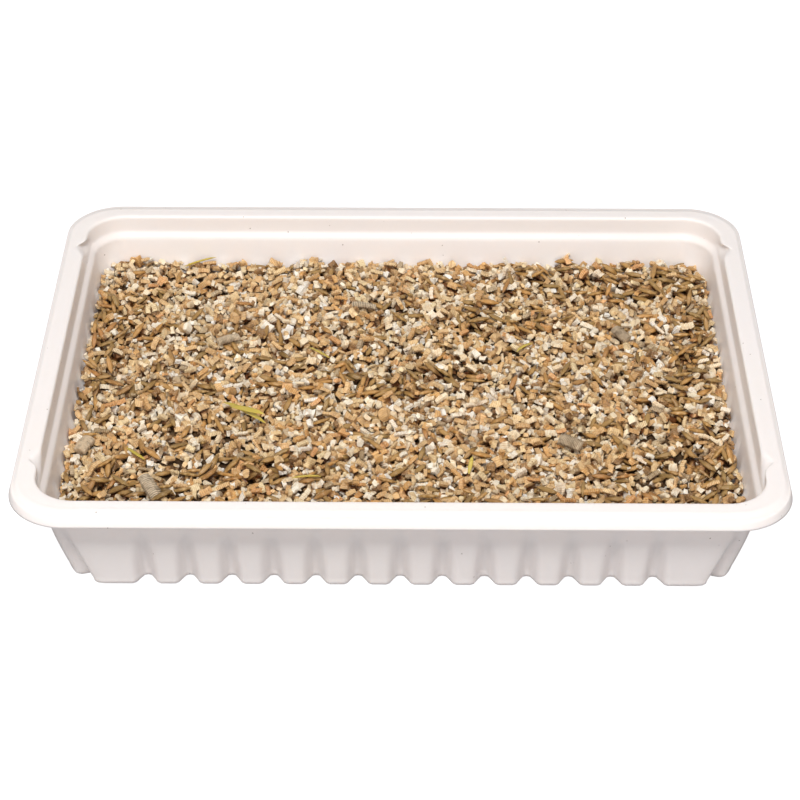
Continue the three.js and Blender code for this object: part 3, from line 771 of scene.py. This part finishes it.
seed_husk, tree = new_finish("seed_husk")
place = put(tree, "ShaderNodeTexCoord").outputs["Object"]
tone = put(tree, "ShaderNodeAttribute", attribute_name="tone").outputs["Fac"]
along = put(tree, "ShaderNodeAttribute", attribute_name="span").outputs["Fac"]
across = put(tree, "ShaderNodeAttribute", attribute_name="side").outputs["Fac"]
patchy = mottled(tree, place, 700.0, 2.0)
# Light lines along the husk: partly its real veins and partly painted highlight lines.
veins = math_of(tree, "PINGPONG", math_of(tree, "MULTIPLY", across, 2.6), 0.5)
ridges = {"Value": veins, "From Min": 0.22, "From Max": 0.0}
vein_and_highlight = put(tree, "ShaderNodeMapRange", ridges, interpolation_type="SMOOTHSTEP").outputs[0]
body = ramp_of(tree, tone, [
    (0, srgb(190, 142, 76)), (0.25, srgb(164, 126, 68)), (0.5, srgb(146, 116, 64)),
    (0.7, srgb(204, 148, 78)), (0.85, srgb(128, 102, 56)), (1, srgb(180, 120, 60))])
body = mixed(tree, math_of(tree, "MULTIPLY", vein_and_highlight, 0.6), body, srgb(236, 200, 140))
tips = math_of(tree, "POWER", math_of(tree, "ABSOLUTE", along), 4.0)
body = mixed(tree, math_of(tree, "MULTIPLY", tips, 0.45), body, srgb(124, 94, 56))
body = mixed(tree, math_of(tree, "MULTIPLY", patchy["Factor"], 0.3), body, srgb(136, 98, 54))
# Painted shade where the seed lies sunk among the others.
body = paint_sunk_shade(tree, body)
ribbed = put(tree, "ShaderNodeBump", {"Height": veins, "Strength": 0.6, "Distance": 0.0002})
dry = put(tree, "ShaderNodeBump", {
    "Height": patchy["Height"], "Strength": 0.3, "Distance": 0.00015, "Normal": ribbed.outputs[0]})
rough = put(tree, "ShaderNodeMapRange", {"Value": patchy["Factor"], "To Min": 0.3, "To Max": 0.5}).outputs[0]
coat_with(tree, put(tree, "ShaderNodeBsdfPrincipled", {
    "Base Color": body, "Roughness": rough, "Normal": dry.outputs[0], "Specular IOR Level": 0.5}))

for drift in DRIFTS:
    seeds = gather(f"seeds_of_{drift}", f"seeds_of_{drift}", seed_husk)
    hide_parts(f"seeds_{drift}")
stray_seeds = gather("seeds_of_all_over", "seeds_strewn", seed_husk)
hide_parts("seeds_middle")


# THE SILVER FLAKES. Six large accordion flakes of grey mica that lie on top of the bed, each a stack of
# fourteen leaves that has opened unevenly.

# Each flake: where it lies, its length and width, and which way it points.
FLAKES = (((-92.5, -68), 13, 5.6, -1.1), ((-120, -41), 8, 6, 1.2), ((-16, 55), 10, 4.6, -0.15),
          ((64, -40), 9, 6, -0.4), ((88, 34), 8, 5, -0.9), ((-70, 30), 9, 5.2, 0.4))
LEAVES = 14
silver_flake = granule_finish(
    "silver_mica_flake", [(0, srgb(222, 202, 172)), (0.5, srgb(204, 180, 148)), (1, srgb(236, 218, 190))],
    srgb(70, 52, 36), LEAVES / 2, 1.0, (0.28, 0.5))
flake_draw = np.random.default_rng(21)
for number, (at, length, width, heading) in enumerate(FLAKES, 1):
    stations = []
    for k in range(2 * LEAVES + 1):
        x = -1 + k / LEAVES
        radius = (1.0 if k % 2 else 0.8) * flake_draw.uniform(0.94, 1.03) * (1 - 0.12 * x ** 4)
        stations.append((x, radius, flake_draw.uniform(-0.05, 0.05), 0.16 * (1 - x * x)))
    shape = drawn_shape("flake", 8, stations, flat=(1, 0.9))
    matrix = let_down(*at, (length / 2, width / 2, width * 0.36), heading, 0.05, 0.8)
    resting[f"flake_{number}"] = [(shape, matrix, flake_draw.uniform())]
    flake = gather(f"flake_{number}", f"silver_flake_{number}", silver_flake)
    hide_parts(f"vermiculite_flake_{number}")


# THE STRAW. Seven short bits of dry grass blade, yellow-green and folded along the middle, that came in
# with the seed and lie on top. The largest is two blades side by side.

# Each straw: where it lies, its length, and which way it points.
STRAWS = (((-60.5, -22.5), 21, -0.66), ((-33, 22), 12, -0.75), ((-86, 91), 14, 0.18), ((-100, -46), 9, -0.6),
          ((-35, -62), 11, 0.1), ((26, -54), 8, 1.4), ((49, 27), 9, 0.7))
dry_straw, tree = new_finish("dry_straw")
place = put(tree, "ShaderNodeTexCoord").outputs["Object"]
tone = put(tree, "ShaderNodeAttribute", attribute_name="tone").outputs["Fac"]
across = put(tree, "ShaderNodeAttribute", attribute_name="side").outputs["Fac"]
patchy = mottled(tree, place, 260.0, 2.2)
fibre = math_of(tree, "PINGPONG", math_of(tree, "MULTIPLY", across, 5.0), 0.5)
body = ramp_of(tree, tone, [(0, srgb(236, 212, 66)), (0.5, srgb(226, 200, 92)), (1, srgb(214, 190, 70))])
body = mixed(tree, math_of(tree, "MULTIPLY", patchy["Factor"], 0.5), body, srgb(220, 196, 124))
body = mixed(tree, math_of(tree, "MULTIPLY", fibre, 0.6), body, srgb(150, 142, 52))
ribbed = put(tree, "ShaderNodeBump", {"Height": fibre, "Strength": 0.5, "Distance": 0.00015})
rough = put(tree, "ShaderNodeMapRange", {"Value": patchy["Factor"], "To Min": 0.35, "To Max": 0.55}).outputs[0]
coat_with(tree, put(tree, "ShaderNodeBsdfPrincipled", {
    "Base Color": body, "Roughness": rough, "Normal": ribbed.outputs[0], "Specular IOR Level": 0.5}))

straw_draw = np.random.default_rng(5)
for number, (at, length, heading) in enumerate(STRAWS, 1):
    blades = []
    for second in range(2 if number == 1 else 1):
        bow = straw_draw.uniform(-0.9, 0.9)
        stations = [(x, max(0.12, (1 - abs(x) ** 3) ** 0.8), bow * (1 - x * x), 0.5 * (1 - x * x))
                    for x in np.linspace(-1, 1, 15)]
        shape = drawn_shape("straw", 8, stations, flat=(1, 0.42), smooth=True)
        for vert in shape.vertices:
            if abs(vert.co.y - bow * (1 - vert.co.x ** 2)) < 0.45:
                vert.co.z -= 0.35
        spot = (at[0] + 1.2 * second, at[1] - 1.6 * second)
        half = (length * (0.5 - 0.12 * second), 1.15 if number == 1 else 0.85, 0.7)
        matrix = let_down(*spot, half, heading + 0.12 * second, 0.02, 1)
        blades.append((shape, matrix, straw_draw.uniform()))
    resting[f"straw_{number}"] = blades
    straw = gather(f"straw_{number}", f"straw_blade_{number}", dry_straw)
    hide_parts(f"straw_{number}")

bpy.context.view_layer.update()
